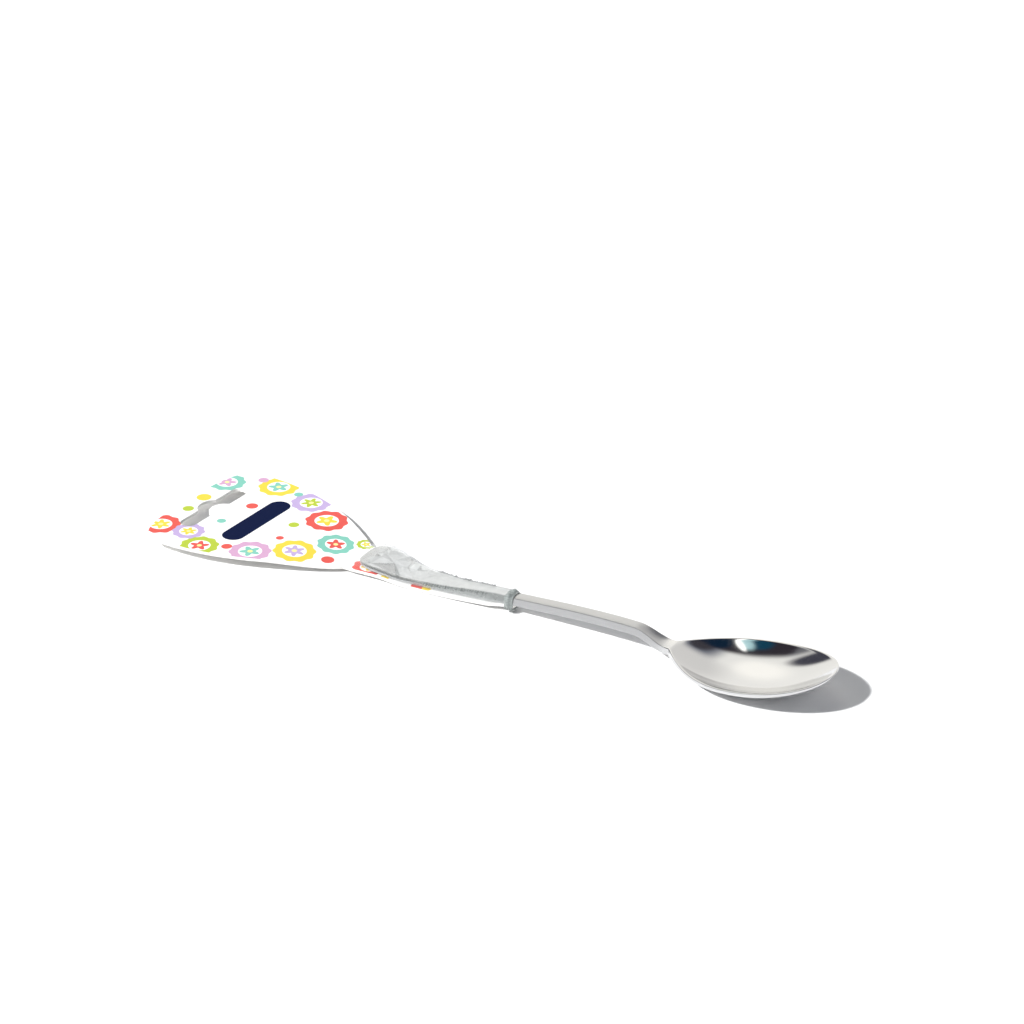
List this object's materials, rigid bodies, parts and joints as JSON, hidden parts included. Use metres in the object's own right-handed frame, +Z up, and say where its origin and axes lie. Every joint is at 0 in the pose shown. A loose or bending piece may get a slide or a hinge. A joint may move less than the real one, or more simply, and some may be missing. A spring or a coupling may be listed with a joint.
{
  "type": "baby spoon on a hang card",
  "caption": "Child's steel spoon with a shallow oval bowl, packed for sale: its handle end is held on a fan-shaped printed hang card by a clear shrunk-film sleeve.",
  "frame": {"origin": "middle of the whole length, on the centre line, at the surface the pack lies on", "axes": "+X from the card's outer edge to the tip of the bowl, +Y across, +Z up out of the bowl"},
  "size_m": [0.2006, 0.0484, 0.0101],
  "materials": {
    "steel": "polished",
    "card_print": "satin",
    "card_back": "matte",
    "film": "gloss",
    "band": "gloss"
  },
  "bodies": {
    "packed_spoon": {"spoon": "steel", "card_front_tongue": "card_print", "card_back_tongue": "card_back", "film_sleeve": "film", "end_band": "band"},
    "card_head": {"card_front_head": "card_print", "card_back_head": "card_back"}
  },
  "joints": [
    {"name": "card_neck_bend", "type": "hinge", "parent": "packed_spoon", "child": "card_head", "pos_m": [-0.0423, 0, 0.00157], "axis": [0, 1, 0], "range_deg": [-2, 45], "stiffness_Nm_per_rad": 0.03, "springref_deg": 0.78}
  ]
}
